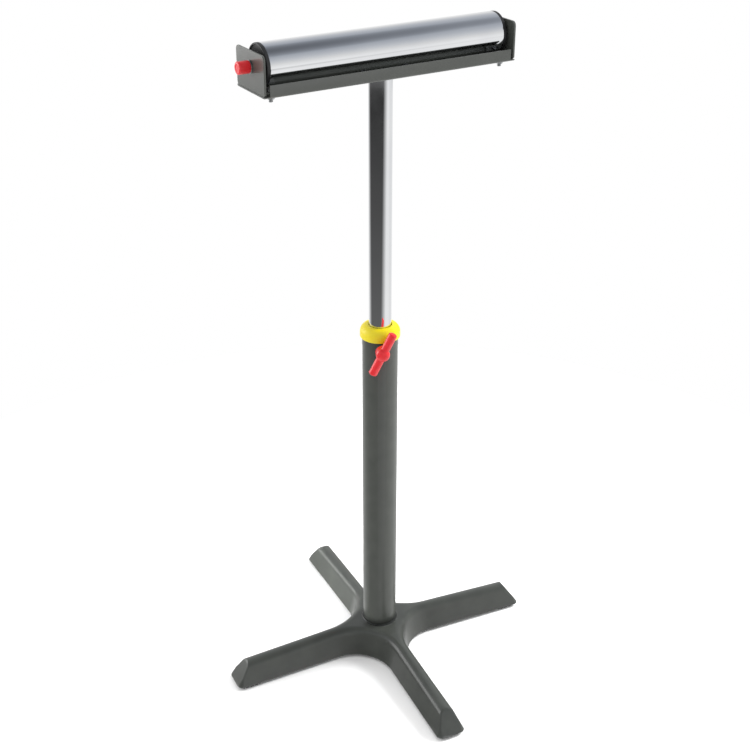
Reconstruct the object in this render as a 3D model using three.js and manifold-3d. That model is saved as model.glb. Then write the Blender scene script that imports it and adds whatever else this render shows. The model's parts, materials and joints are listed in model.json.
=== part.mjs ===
// Roller stand: a chrome roller in a folded tray, carried by a telescopic post on a four-legged base.
// Millimetres, +Z up, X along the roller. The origin is on the floor, on the post's axis.
import * as THREE from 'three';
import { mergeVertices } from 'three/addons/utils/BufferGeometryUtils.js';
import Module from 'manifold-3d';

// Facets and fits
const LARGE_SIDES = 40;
const SMALL_SIDES = 20;
const BOLT_SIDES = 8;
const HEX_SIDES = 6;
const BALL_SIDES = 6;
const BALL_RINGS = 4;
const ROUND_STEPS = 3;
const SEAT_GAP = 0.3;
const SLIDE_GAP = 0.3;
const CUT_MARGIN = 1;

// Base: a hollow pressing with four legs on rubber feet
const BASE_TURN = -5.5;
const BASE_HEIGHT = 56;
const BASE_REACH = 290;
const BASE_WALL = 4;
const CROWN_RADIUS = 60;
const LEG_TIP_HEIGHT = 44;
const LEG_TIP_RUN = 26;
const LEG_TIP_ROUND = 5;
const LEG_TIP_CORNER = 10;
const LEG_TIP_WIDTH = 53;
const LEG_ROOT_WIDTH = 43;
const LEG_TOP_WIDTH = 22;
const LEG_EDGE_ROUND = 12;
const CORNER_OFFSET = 94;
const FOOT_PROUD = 6;
const FOOT_HEIGHT = 13;
const FOOT_LENGTH = 42;
const PLUG_CORNER = 5;
const SOLE_INSET = 5;
const SOLE_CORNER = 9;

// Inner tube, with a guide bush at its foot and a flange at its top
const INNER_RADIUS = 18.75;
const INNER_WALL = 2;
const RAISED = 410;
const SPARE_RISE = 58;
const BUSH_HEIGHT = 30;
const BUSH_LIP = 3;
const FLANGE_LENGTH = 92;
const FLANGE_WIDTH = 50;
const FLANGE_THICKNESS = 5;
const FLANGE_CORNER = 6;
const FLANGE_BOLT_INSET = 10;
const FLANGE_BOLT_RADIUS = 3;
const BUTTON_OVERHANG = 2;
const BUTTON_HEIGHT = 2;
const BUTTON_ROUND = 1.5;

// Outer tube, welded into the base
const OUTER_WALL = 2.5;
const OUTER_LENGTH = 594;
const OUTER_INSERT = 12;
const BEAD_SIZE = 2.5;

// Guide collar on the outer tube's mouth, with a sleeve inside the tube
const SLEEVE_WALL = 8.15;
const SLEEVE_DEPTH = 70;
const COLLAR_OVERHANG = 3.5;
const COLLAR_HEIGHT = 22;
const COLLAR_ROUND = 13;
const COLLAR_MOUTH = 0.8;

// Clamp: threaded boss, screw, pressure pad and T handle
const CLAMP_HEADING = -115.5;
const CLAMP_DROP = 12;
const SCREW_RADIUS = 6;
const BOSS_WALL = 3.7;
const BOSS_LENGTH = 5;
const PAD_EASE = 0.5;
const PAD_LENGTH = 6;
const HANDLE_GAP = 1.5;
const HUB_WALL = 5.2;
const HUB_LENGTH = 20;
const HUB_ROUND = 8;
const HUB_END_WALL = 6;
const BAR_RADIUS = 7.2;
const BAR_LENGTH = 80;
const BAR_ROUND = 3;
const BAR_TILT = 25.5;

// Roller on ball bearings
const ROLLER_RADIUS = 31.75;
const ROLLER_WALL = 3;
const LEFT_CLEARANCE = 8.5;
const RIGHT_CLEARANCE = 4;
const CAP_RIM = 5;
const CAP_PLUG = 20;
const CAP_ROUND = 2;
const CAP_SHOULDER = 4;
const AXLE_RADIUS = 6;
const RACE_WALL = 2.75;
const BALL_RADIUS = 1.8;
const BALL_COUNT = 8;
const BEARING_WIDTH = 10;
const CAGE_WALL = 1.2;
const CAGE_WIDTH = 3;
const SPACER_WALL = 2.5;

// Knob, nut and washers on the axle's ends
const KNOB_WALL = 3;
const KNOB_LENGTH = 18;
const KNOB_ROUND = 1.5;
const KNOB_END_WALL = 4;
const KNOB_WASHER_WALL = 3;
const KNOB_WASHER_THICKNESS = 1.5;
const NUT_WASHER_WALL = 6;
const NUT_WASHER_THICKNESS = 2;
const AXLE_NUT_WALL = 3.2;
const AXLE_NUT_HEIGHT = 8;
const AXLE_NUT_END = 3;

// Tray and end brackets
const HEAD_SPAN = 430;
const ROLLER_SIDE_GAP = 11.25;
const ROLLER_FLOOR_GAP = 0.5;
const TRAY_WALL = 2.5;
const TRAY_INNER_BEND = 1.5;
const LIP_HEIGHT = 18.5;
const LIP_END_GAP = 5;
const BRACKET_WALL = 3;
const BRACKET_INSET = 1.5;
const BRACKET_ABOVE_AXLE = 23;
const BRACKET_TOP_CORNER = 7;
const BRACKET_LOW_CORNER = 4;
const TAB_REACH = 31;
const TAB_WIDTH = 20;
const TAB_INSET = 6;
const BRACKET_BOLT_RADIUS = 3;
const HEX_WALL = 1.55;
const HEX_HEAD_HEIGHT = 4;
const HEX_NUT_HEIGHT = 5;
const BOLT_END = 4;

// Finishes
const PAINT = { color: 0x4b4e4b, roughness: 0.42, metalness: 0.3 };
const CHROME = { color: 0xd9dce0, roughness: 0.08, metalness: 1 };
const ZINC = { color: 0xa3a7ab, roughness: 0.35, metalness: 0.9 };
const BEARING_STEEL = { color: 0xb9bcc0, roughness: 0.2, metalness: 1 };
const BRASS = { color: 0xb6914a, roughness: 0.3, metalness: 0.9 };
const YELLOW = { color: 0xeade2e, roughness: 0.4, metalness: 0 };
const RED = { color: 0xdd2430, roughness: 0.35, metalness: 0 };
const BLACK_PLASTIC = { color: 0x232424, roughness: 0.5, metalness: 0 };
const RUBBER = { color: 0x191919, roughness: 0.85, metalness: 0 };

const wasm = await Module();
wasm.setup();

// Joins and cuts

function toSolid(geometry) {
  const bare = geometry.clone();
  bare.deleteAttribute('normal');
  bare.deleteAttribute('uv');
  const merged = mergeVertices(bare);
  const corners = [];
  for (let i = 0; i < merged.index.count; i += 3) {
    const [a, b, c] = [0, 1, 2].map((k) => merged.index.getX(i + k));
    if (a !== b && b !== c && c !== a) corners.push(a, b, c);
  }
  const vertProperties = merged.attributes.position.array;
  const triVerts = Uint32Array.from(corners);
  return new wasm.Manifold(new wasm.Mesh({ numProp: 3, vertProperties, triVerts }));
}

function toGeometry(solid) {
  const mesh = solid.getMesh();
  const geometry = new THREE.BufferGeometry();
  geometry.setAttribute('position', new THREE.BufferAttribute(Float32Array.from(mesh.vertProperties), 3));
  geometry.setIndex(new THREE.BufferAttribute(Uint32Array.from(mesh.triVerts), 1));
  geometry.computeVertexNormals();
  return geometry;
}

function join(...bodies) {
  return toGeometry(bodies.map(toSolid).reduce((whole, next) => whole.add(next)));
}

function cut(body, ...tools) {
  return toGeometry(tools.map(toSolid).reduce((left, tool) => left.subtract(tool), toSolid(body)));
}

function common(body, other) {
  return toGeometry(toSolid(body).intersect(toSolid(other)));
}

// Basic forms, all built along Z

// A profile of [radius, height] pairs, its outer wall running upwards, turned about Z
function turned(profile, sides) {
  const points = profile.map(([radius, height]) => new THREE.Vector2(radius, height));
  return new THREE.LatheGeometry(points, sides).rotateX(Math.PI / 2);
}

function ring(outer, inner, low, high, sides) {
  return turned([[inner, low], [outer, low], [outer, high], [inner, high], [inner, low]], sides);
}

function rod(radius, low, high, sides) {
  return turned([[0, low], [radius, low], [radius, high], [0, high]], sides);
}

// Quarter round from a wall at the given radius to a level top, as profile pairs
function roundedEdge(radius, top, round) {
  const steps = Array.from({ length: ROUND_STEPS + 1 }, (_, i) => (i / ROUND_STEPS) * Math.PI / 2);
  return steps.map((a) => [radius - round + round * Math.cos(a), top - round + round * Math.sin(a)]);
}

function outlineShape(points) {
  return new THREE.Shape(points.map(([u, v]) => new THREE.Vector2(u, v)));
}

function extruded(shape, depth) {
  const settings = { depth, bevelEnabled: false, curveSegments: ROUND_STEPS + 1 };
  return new THREE.ExtrudeGeometry(shape, settings);
}

// An outline in Y and Z, drawn out along X from low to high
function drawnAlongX(shape, low, high) {
  const toYZ = new THREE.Matrix4().makeBasis(
    new THREE.Vector3(0, 1, 0), new THREE.Vector3(0, 0, 1), new THREE.Vector3(1, 0, 0));
  return extruded(shape, high - low).applyMatrix4(toYZ).translate(low, 0, 0);
}

function block(size, centre) {
  return new THREE.BoxGeometry(...size).translate(...centre);
}

function layAlongX(geometry) {
  return geometry.rotateY(Math.PI / 2);
}

// A rectangle with rounded corners, given by two opposite corners; the round differs at foot and top
function roundedRectangle([u0, v0], [u1, v1], lowRound, topRound) {
  const shape = new THREE.Shape();
  shape.moveTo(u0 + lowRound, v0);
  shape.lineTo(u1 - lowRound, v0);
  shape.absarc(u1 - lowRound, v0 + lowRound, lowRound, -Math.PI / 2, 0, false);
  shape.lineTo(u1, v1 - topRound);
  shape.absarc(u1 - topRound, v1 - topRound, topRound, 0, Math.PI / 2, false);
  shape.lineTo(u0 + topRound, v1);
  shape.absarc(u0 + topRound, v1 - topRound, topRound, Math.PI / 2, Math.PI, false);
  shape.lineTo(u0, v0 + lowRound);
  shape.absarc(u0 + lowRound, v0 + lowRound, lowRound, Math.PI, Math.PI * 1.5, false);
  return shape;
}

// Corner radius of a hexagon, from the distance of its flats from the middle
function hexCorner(flat) {
  return flat / Math.cos(Math.PI / HEX_SIDES);
}

function hexNut(corner, bore, low, high, boreSides) {
  return cut(
    rod(corner, low, high, HEX_SIDES),
    rod(bore, low - CUT_MARGIN, high + CUT_MARGIN, boreSides));
}

function meshOf(name, geometry, finish) {
  const mesh = new THREE.Mesh(geometry, new THREE.MeshStandardMaterial(finish));
  mesh.name = name;
  return mesh;
}

// Base

// Right-hand side of a drafted outline with a rounded top edge, as [half width, height] pairs going up
function flankProfile(halfFoot, halfTop, height, round) {
  const draft = Math.atan2(halfFoot - halfTop, height);
  const sweep = Math.PI / 2 - draft;
  const arcCentre = halfTop - round * Math.tan(sweep / 2);
  const arc = Array.from({ length: ROUND_STEPS + 1 }, (_, i) => {
    const angle = draft + (i / ROUND_STEPS) * sweep;
    return [arcCentre + round * Math.cos(angle), height - round + round * Math.sin(angle)];
  });
  return [[halfFoot, 0], ...arc];
}

function archShape(profile) {
  const left = profile.map(([half, height]) => [-half, height]).reverse();
  return outlineShape([...profile, ...left]);
}

// Four drafted legs with hollow corners between them, standing on Z = 0
function crossSolid(halfFoot, halfTop, height, reach, round, tipRound) {
  const flank = flankProfile(halfFoot, halfTop, height, round);
  const tip = flankProfile(reach, reach - LEG_TIP_RUN, height, tipRound);
  const width = halfFoot + CUT_MARGIN;
  const lengthways = drawnAlongX(archShape(flank), -reach, reach);
  const tipToTip = drawnAlongX(archShape(tip), -width, width).rotateZ(-Math.PI / 2);
  const plan = roundedRectangle([-reach, -halfFoot], [reach, halfFoot], LEG_TIP_CORNER, LEG_TIP_CORNER);
  const bar = common(common(lengthways, tipToTip), extruded(plan, height));
  const cornerSides = [
    [0, -CUT_MARGIN],
    [CORNER_OFFSET - halfFoot, -CUT_MARGIN],
    ...flank.map(([half, level]) => [CORNER_OFFSET - half, level]),
    [CORNER_OFFSET - flank.at(-1)[0], height + CUT_MARGIN],
    [0, height + CUT_MARGIN],
  ];
  const corners = [];
  for (const x of [-CORNER_OFFSET, CORNER_OFFSET]) {
    for (const y of [-CORNER_OFFSET, CORNER_OFFSET]) {
      corners.push(turned(cornerSides, LARGE_SIDES).translate(x, y, 0));
    }
  }
  const middle = block([2 * CORNER_OFFSET, 2 * CORNER_OFFSET, height], [0, 0, height / 2]);
  return join(bar, bar.clone().rotateZ(Math.PI / 2), cut(middle, ...corners));
}

const rimToTop = BASE_HEIGHT - FOOT_PROUD;
const rimToTip = LEG_TIP_HEIGHT - FOOT_PROUD;
const hollowRootHalf = LEG_ROOT_WIDTH / 2 - BASE_WALL;
const hollowTopHalf = LEG_TOP_WIDTH / 2 - BASE_WALL;
const hollowHeight = rimToTop - BASE_WALL + CUT_MARGIN;
const hollowReach = BASE_REACH - BASE_WALL;
const outerBore = INNER_RADIUS + SLIDE_GAP + SLEEVE_WALL + SEAT_GAP;
const outerRadius = outerBore + OUTER_WALL;

// Share of the way that a place has gone from a start to an end, held between 0 and 1
function shareOfWay(place, start, end) {
  return THREE.MathUtils.clamp((place - start) / (end - start), 0, 1);
}

// How much wider a leg is than at its root, at a distance out and at a share of the way up its flank
function legSpread(outwards, rise) {
  const most = LEG_TIP_WIDTH / LEG_ROOT_WIDTH - 1;
  return 1 + most * shareOfWay(outwards, CORNER_OFFSET, BASE_REACH) * (1 - rise);
}

// Spreads each leg's foot towards the tip and lowers the top from the flat crown to the tips
function shapeLegs(geometry, height) {
  const position = geometry.attributes.position;
  const fall = 1 - rimToTip / rimToTop;
  for (let i = 0; i < position.count; i += 1) {
    const [x, y, z] = [position.getX(i), position.getY(i), position.getZ(i)];
    const wider = legSpread(Math.max(Math.abs(x), Math.abs(y)), z / height);
    if (Math.abs(x) > Math.abs(y)) position.setY(i, y * wider);
    else position.setX(i, x * wider);
    const slope = shareOfWay(Math.hypot(x, y), CROWN_RADIUS, BASE_REACH - LEG_TIP_RUN);
    position.setZ(i, z * (1 - fall * slope));
  }
  return geometry;
}

function makeBase() {
  const outside = crossSolid(
    LEG_ROOT_WIDTH / 2, LEG_TOP_WIDTH / 2, rimToTop, BASE_REACH, LEG_EDGE_ROUND, LEG_TIP_ROUND);
  const inside = crossSolid(
    hollowRootHalf, hollowTopHalf, hollowHeight, hollowReach, LEG_EDGE_ROUND / 2, LEG_TIP_ROUND / 2);
  const shell = cut(
    shapeLegs(outside, rimToTop),
    shapeLegs(inside, hollowHeight).translate(0, 0, -CUT_MARGIN),
    rod(outerRadius + SEAT_GAP, 0, rimToTop + CUT_MARGIN, LARGE_SIDES));
  return shell.translate(0, 0, FOOT_PROUD);
}

// A block of the foot on +X, given by its end, half width, corner and height
function footBlock(end, half, corner, height) {
  return extruded(roundedRectangle([end - FOOT_LENGTH, -half], [end, half], corner, corner), height);
}

// A rubber foot on +X: a sole under the rim and a plug held in the hollow of the leg's tip
function makeFoot() {
  const hollowTipHeight = hollowHeight * rimToTip / rimToTop;
  const rise = (FOOT_HEIGHT - FOOT_PROUD + CUT_MARGIN) / hollowTipHeight;
  const plugEnd = hollowReach - rise * LEG_TIP_RUN - SEAT_GAP;
  const hollowHalf = hollowRootHalf - rise * (hollowRootHalf - hollowTopHalf);
  const plugHalf = hollowHalf * legSpread(plugEnd - FOOT_LENGTH, rise) - SEAT_GAP;
  const soleHalf = LEG_TIP_WIDTH / 2 - SOLE_INSET;
  return join(
    footBlock(BASE_REACH - SOLE_INSET, soleHalf, SOLE_CORNER, FOOT_PROUD - SEAT_GAP),
    footBlock(plugEnd, plugHalf, PLUG_CORNER, FOOT_HEIGHT));
}

const baseGroup = new THREE.Group();
baseGroup.rotation.z = THREE.MathUtils.degToRad(BASE_TURN);
baseGroup.add(meshOf('base', makeBase(), PAINT));
for (const [name, turn] of [['right', 0], ['rear', 90], ['left', 180], ['front', 270]]) {
  const foot = meshOf(`foot_${name}`, makeFoot(), RUBBER);
  foot.rotation.z = THREE.MathUtils.degToRad(turn);
  baseGroup.add(foot);
}

// Post

const outerFoot = BASE_HEIGHT - OUTER_INSERT;
const outerTop = outerFoot + OUTER_LENGTH;
const sleeveEnd = outerTop - SLEEVE_DEPTH;
const collarTop = outerTop + COLLAR_HEIGHT;
const bossEnd = outerRadius + BOSS_LENGTH;
const screwHole = SCREW_RADIUS + SEAT_GAP;
const clampHeading = THREE.MathUtils.degToRad(CLAMP_HEADING);
const clampHeight = outerTop - CLAMP_DROP;

// A hole for the clamp screw, from the post's axis outwards
function clampHole() {
  const hole = layAlongX(rod(screwHole, 0, bossEnd, SMALL_SIDES));
  return hole.rotateZ(clampHeading).translate(0, 0, clampHeight);
}

function makeOuterTube() {
  return cut(ring(outerRadius, outerBore, outerFoot, outerTop, LARGE_SIDES), clampHole());
}

function makeWeldBead() {
  const low = BASE_HEIGHT + SEAT_GAP;
  const inner = outerRadius + SEAT_GAP;
  const crest = roundedEdge(inner + BEAD_SIZE, low + BEAD_SIZE, BEAD_SIZE);
  return turned([[inner, low], ...crest, [inner, low]], LARGE_SIDES);
}

function makeCollar() {
  const bore = INNER_RADIUS + SLIDE_GAP;
  const sleeve = outerBore - SEAT_GAP;
  const seat = outerTop + SEAT_GAP;
  const rim = outerRadius + COLLAR_OVERHANG;
  const profile = [
    [bore, sleeveEnd],
    [sleeve, sleeveEnd],
    [sleeve, seat],
    [rim, seat],
    ...roundedEdge(rim, collarTop, COLLAR_ROUND),
    [bore + COLLAR_MOUTH, collarTop],
    [bore, collarTop - COLLAR_MOUTH],
    [bore, sleeveEnd],
  ];
  return cut(turned(profile, LARGE_SIDES), clampHole());
}

const postGroup = new THREE.Group();
postGroup.add(
  meshOf('outer_tube', makeOuterTube(), PAINT),
  meshOf('tube_weld_bead', makeWeldBead(), PAINT),
  meshOf('guide_collar', makeCollar(), YELLOW));

// Clamp, built along +X from the post's axis

const padTip = INNER_RADIUS + SEAT_GAP;
const padEnd = padTip + PAD_LENGTH;
const hubStart = bossEnd + HANDLE_GAP;
const hubEnd = hubStart + HUB_LENGTH;
const socketEnd = hubEnd - HUB_END_WALL;

function makeBoss() {
  const outer = screwHole + BOSS_WALL;
  const boss = layAlongX(ring(outer, screwHole, outerBore, bossEnd, SMALL_SIDES));
  const tubeHeight = outer + CUT_MARGIN;
  return cut(boss, rod(outerRadius + SEAT_GAP, -tubeHeight, tubeHeight, LARGE_SIDES));
}

function makePad() {
  return layAlongX(rod(SCREW_RADIUS - PAD_EASE, padTip, padEnd, SMALL_SIDES));
}

function makeScrew() {
  return layAlongX(rod(SCREW_RADIUS, padEnd + SEAT_GAP, socketEnd - SEAT_GAP, SMALL_SIDES));
}

function makeHandle() {
  const hubRadius = screwHole + HUB_WALL;
  const hubFace = roundedEdge(hubRadius, hubEnd, HUB_ROUND);
  const hub = layAlongX(turned([[0, hubStart], [hubRadius, hubStart], ...hubFace, [0, hubEnd]], SMALL_SIDES));
  const end = roundedEdge(BAR_RADIUS, BAR_LENGTH / 2, BAR_ROUND);
  const otherEnd = end.map(([radius, height]) => [radius, -height]).reverse();
  const bar = turned([[0, -BAR_LENGTH / 2], ...otherEnd, ...end, [0, BAR_LENGTH / 2]], SMALL_SIDES);
  bar.rotateX(-THREE.MathUtils.degToRad(BAR_TILT)).translate((hubStart + hubEnd) / 2, 0, 0);
  const socket = layAlongX(rod(screwHole, hubStart - CUT_MARGIN, socketEnd, SMALL_SIDES));
  return cut(join(hub, bar), socket);
}

const clampGroup = new THREE.Group();
clampGroup.rotation.z = clampHeading;
clampGroup.position.z = clampHeight;
clampGroup.add(
  meshOf('clamp_boss', makeBoss(), PAINT),
  meshOf('clamp_pad', makePad(), BRASS),
  meshOf('clamp_screw', makeScrew(), ZINC),
  meshOf('clamp_handle', makeHandle(), RED));

// Mast and tray, measured from the tray's underside

const flangeTop = -SEAT_GAP;
const flangeLow = flangeTop - FLANGE_THICKNESS;
const tubeTop = flangeLow - SEAT_GAP;
const trayHeight = collarTop + RAISED - tubeTop;
const bushTop = sleeveEnd - SPARE_RISE - trayHeight;
const tubeFoot = bushTop - BUSH_HEIGHT;

function makeInnerTube() {
  return ring(INNER_RADIUS, INNER_RADIUS - INNER_WALL, tubeFoot, tubeTop, LARGE_SIDES);
}

function makeBush() {
  const outer = outerBore - SLIDE_GAP;
  const bore = INNER_RADIUS + SEAT_GAP;
  const seat = tubeFoot - SEAT_GAP;
  const lipBore = INNER_RADIUS - 2 * INNER_WALL;
  return turned([
    [lipBore, seat - BUSH_LIP],
    [outer, seat - BUSH_LIP],
    [outer, bushTop],
    [bore, bushTop],
    [bore, seat],
    [lipBore, seat],
    [lipBore, seat - BUSH_LIP],
  ], LARGE_SIDES);
}

const flangeBoltX = FLANGE_LENGTH / 2 - FLANGE_BOLT_INSET;
const flangeBoltY = FLANGE_WIDTH / 2 - FLANGE_BOLT_INSET;
const flangeBolts = [
  [flangeBoltX, flangeBoltY],
  [-flangeBoltX, flangeBoltY],
  [-flangeBoltX, -flangeBoltY],
  [flangeBoltX, -flangeBoltY],
];
const buttonSeat = TRAY_WALL + SEAT_GAP;
const buttonTop = buttonSeat + BUTTON_HEIGHT;
const axleHeight = buttonTop + ROLLER_FLOOR_GAP + ROLLER_RADIUS;
const axleBore = AXLE_RADIUS + SEAT_GAP;

const trayHalf = ROLLER_RADIUS + ROLLER_SIDE_GAP + TRAY_WALL;
const bracketHalf = trayHalf - BRACKET_INSET;
const bracketLow = TRAY_WALL + SEAT_GAP;
const tabTop = bracketLow + BRACKET_WALL;
const tabCentre = bracketHalf - TAB_INSET - TAB_WIDTH / 2;
const bracketBoltX = HEAD_SPAN / 2 - (TAB_REACH + BRACKET_WALL) / 2;
const bracketBolts = [
  ['left_front', -bracketBoltX, -tabCentre],
  ['left_rear', -bracketBoltX, tabCentre],
  ['right_front', bracketBoltX, -tabCentre],
  ['right_rear', bracketBoltX, tabCentre],
];
const bracketBoltHole = BRACKET_BOLT_RADIUS + SEAT_GAP;
const hexRadius = hexCorner(bracketBoltHole + HEX_WALL);
const nutTop = -SEAT_GAP;
const nutLow = nutTop - HEX_NUT_HEIGHT;

function boltHole(radius, x, y, low, high) {
  return rod(radius, low - CUT_MARGIN, high + CUT_MARGIN, BOLT_SIDES).translate(x, y, 0);
}

function flangeBoltHoles(low, high) {
  return flangeBolts.map(([x, y]) => boltHole(FLANGE_BOLT_RADIUS + SEAT_GAP, x, y, low, high));
}

function makeFlange() {
  const corner = [-FLANGE_LENGTH / 2, -FLANGE_WIDTH / 2];
  const opposite = [FLANGE_LENGTH / 2, FLANGE_WIDTH / 2];
  const plate = extruded(roundedRectangle(corner, opposite, FLANGE_CORNER, FLANGE_CORNER), FLANGE_THICKNESS);
  return cut(plate.translate(0, 0, flangeLow), ...flangeBoltHoles(flangeLow, flangeTop));
}

// The folded sheet in section, from its front lip round to its rear lip
function traySection() {
  const inside = trayHalf - TRAY_WALL;
  const outerBend = TRAY_WALL + TRAY_INNER_BEND;
  const bendLine = trayHalf - outerBend;
  const shape = new THREE.Shape();
  shape.moveTo(-trayHalf, LIP_HEIGHT);
  shape.lineTo(-trayHalf, outerBend);
  shape.absarc(-bendLine, outerBend, outerBend, Math.PI, Math.PI * 1.5, false);
  shape.lineTo(bendLine, 0);
  shape.absarc(bendLine, outerBend, outerBend, -Math.PI / 2, 0, false);
  shape.lineTo(trayHalf, LIP_HEIGHT);
  shape.lineTo(inside, LIP_HEIGHT);
  shape.lineTo(inside, outerBend);
  shape.absarc(bendLine, outerBend, TRAY_INNER_BEND, 0, -Math.PI / 2, true);
  shape.lineTo(-bendLine, TRAY_WALL);
  shape.absarc(-bendLine, outerBend, TRAY_INNER_BEND, -Math.PI / 2, -Math.PI, true);
  shape.lineTo(-inside, LIP_HEIGHT);
  return shape;
}

// The folded tray, its lips cut back at each end to let the brackets stand on its floor
function makeTray() {
  const channel = drawnAlongX(traySection(), -HEAD_SPAN / 2, HEAD_SPAN / 2);
  const notchLength = BRACKET_WALL + LIP_END_GAP;
  const notchHeight = LIP_HEIGHT - TRAY_WALL;
  const notch = [notchLength + CUT_MARGIN, 2 * (trayHalf + CUT_MARGIN), notchHeight + CUT_MARGIN];
  const notchX = (HEAD_SPAN - notchLength + CUT_MARGIN) / 2;
  const notchZ = TRAY_WALL + (notchHeight + CUT_MARGIN) / 2;
  const notches = [-notchX, notchX].map((x) => block(notch, [x, 0, notchZ]));
  const bracketHoles = bracketBolts.map(([, x, y]) => boltHole(bracketBoltHole, x, y, 0, TRAY_WALL));
  return cut(channel, ...notches, ...flangeBoltHoles(0, TRAY_WALL), ...bracketHoles);
}

// The left-hand bracket: an upright plate with two tabs that reach in along the tray's floor
function makeBracket() {
  const outside = -HEAD_SPAN / 2;
  const inside = outside + BRACKET_WALL;
  const opposite = [bracketHalf, axleHeight + BRACKET_ABOVE_AXLE];
  const plate = roundedRectangle(
    [-bracketHalf, bracketLow], opposite, BRACKET_LOW_CORNER, BRACKET_TOP_CORNER);
  const tabSize = [TAB_REACH, TAB_WIDTH, BRACKET_WALL];
  const tabMiddle = [outside + TAB_REACH / 2, bracketLow + BRACKET_WALL / 2];
  const tabs = [-tabCentre, tabCentre].map((y) => block(tabSize, [tabMiddle[0], y, tabMiddle[1]]));
  const axleHole = layAlongX(rod(axleBore, outside - CUT_MARGIN, inside + CUT_MARGIN, SMALL_SIDES));
  const boltHoles = [-tabCentre, tabCentre].map(
    (y) => boltHole(bracketBoltHole, -bracketBoltX, y, bracketLow, tabTop));
  return cut(
    join(drawnAlongX(plate, outside, inside), ...tabs),
    axleHole.translate(0, 0, axleHeight),
    ...boltHoles);
}

// A low round-headed bolt from the tray's floor down into the flange
function makeFlangeBolt() {
  return turned([
    [0, flangeLow],
    [FLANGE_BOLT_RADIUS, flangeLow],
    [FLANGE_BOLT_RADIUS, buttonSeat],
    [FLANGE_BOLT_RADIUS + BUTTON_OVERHANG, buttonSeat],
    ...roundedEdge(FLANGE_BOLT_RADIUS + BUTTON_OVERHANG, buttonTop, BUTTON_ROUND),
    [0, buttonTop],
  ], BOLT_SIDES);
}

function makeBracketBolt() {
  const seat = tabTop + SEAT_GAP;
  const head = rod(hexRadius, seat, seat + HEX_HEAD_HEIGHT, HEX_SIDES);
  const shank = rod(BRACKET_BOLT_RADIUS, nutLow - BOLT_END, seat + HEX_HEAD_HEIGHT / 2, BOLT_SIDES);
  return join(head, shank);
}

const headGroup = new THREE.Group();
headGroup.position.z = trayHeight;
const rightBracket = meshOf('right_bracket', makeBracket(), PAINT);
rightBracket.rotation.z = Math.PI;
headGroup.add(
  meshOf('inner_tube', makeInnerTube(), CHROME),
  meshOf('guide_bush', makeBush(), BLACK_PLASTIC),
  meshOf('head_flange', makeFlange(), PAINT),
  meshOf('tray', makeTray(), PAINT),
  meshOf('left_bracket', makeBracket(), PAINT),
  rightBracket);
flangeBolts.forEach(([x, y], i) => {
  const bolt = meshOf(`flange_bolt_${i + 1}`, makeFlangeBolt(), ZINC);
  bolt.position.set(x, y, 0);
  headGroup.add(bolt);
});
for (const [place, x, y] of bracketBolts) {
  const bolt = meshOf(`bracket_bolt_${place}`, makeBracketBolt(), ZINC);
  const nutShape = hexNut(hexRadius, bracketBoltHole, nutLow, nutTop, BOLT_SIDES);
  const nut = meshOf(`bracket_nut_${place}`, nutShape, ZINC);
  bolt.position.set(x, y, 0);
  nut.position.set(x, y, 0);
  headGroup.add(bolt, nut);
}

// Roller, built along +X on the axle

const plateInside = HEAD_SPAN / 2 - BRACKET_WALL;
const rollerLeft = -plateInside + LEFT_CLEARANCE;
const rollerRight = plateInside - RIGHT_CLEARANCE;
const innerRaceRadius = axleBore + RACE_WALL;
const outerRaceBore = innerRaceRadius + 2 * (BALL_RADIUS + SEAT_GAP);
const ballCircle = (innerRaceRadius + outerRaceBore) / 2;
const bearingRadius = outerRaceBore + RACE_WALL;

function makeRollerTube() {
  const low = rollerLeft + CAP_RIM + SEAT_GAP;
  const high = rollerRight - CAP_RIM - SEAT_GAP;
  return layAlongX(ring(ROLLER_RADIUS, ROLLER_RADIUS - ROLLER_WALL, low, high, LARGE_SIDES));
}

// An end cap from its outer face inwards: rim, plug in the tube, and a seat for the bearing
function makeEndCap() {
  const seatRadius = bearingRadius + SEAT_GAP;
  const seatDepth = BEARING_WIDTH + SEAT_GAP;
  const shoulder = bearingRadius - CAP_SHOULDER;
  const plug = ROLLER_RADIUS - ROLLER_WALL - SEAT_GAP;
  const plugEnd = CAP_RIM + CAP_PLUG;
  const faceEdge = roundedEdge(ROLLER_RADIUS, 0, CAP_ROUND).map(([radius, level]) => [radius, -level]);
  return layAlongX(turned([
    [shoulder, seatDepth],
    [seatRadius, seatDepth],
    [seatRadius, 0],
    ...faceEdge.reverse(),
    [ROLLER_RADIUS, CAP_RIM],
    [plug, CAP_RIM],
    [plug, plugEnd],
    [shoulder, plugEnd],
    [shoulder, seatDepth],
  ], LARGE_SIDES));
}

function makeRace(outer, inner) {
  return layAlongX(ring(outer, inner, 0, BEARING_WIDTH, SMALL_SIDES));
}

// Balls carried in a cage ring
function makeBallCage() {
  const middle = BEARING_WIDTH / 2;
  const low = middle - CAGE_WIDTH / 2;
  const outer = ballCircle + CAGE_WALL / 2;
  const cage = ring(outer, outer - CAGE_WALL, low, low + CAGE_WIDTH, SMALL_SIDES);
  const balls = Array.from({ length: BALL_COUNT }, (_, i) => {
    const angle = (i / BALL_COUNT) * 2 * Math.PI;
    const ball = new THREE.SphereGeometry(BALL_RADIUS, BALL_SIDES, BALL_RINGS);
    return ball.translate(ballCircle * Math.cos(angle), ballCircle * Math.sin(angle), middle);
  });
  return layAlongX(join(cage, ...balls));
}

// One end of the roller, from the cap's outer face inwards
function makeRollerEnd(side) {
  const end = new THREE.Group();
  end.add(
    meshOf(`${side}_end_cap`, makeEndCap(), BLACK_PLASTIC),
    meshOf(`${side}_bearing_outer_race`, makeRace(bearingRadius, outerRaceBore), BEARING_STEEL),
    meshOf(`${side}_bearing_ball_cage`, makeBallCage(), BEARING_STEEL),
    meshOf(`${side}_bearing_inner_race`, makeRace(innerRaceRadius, axleBore), BEARING_STEEL));
  return end;
}

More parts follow.
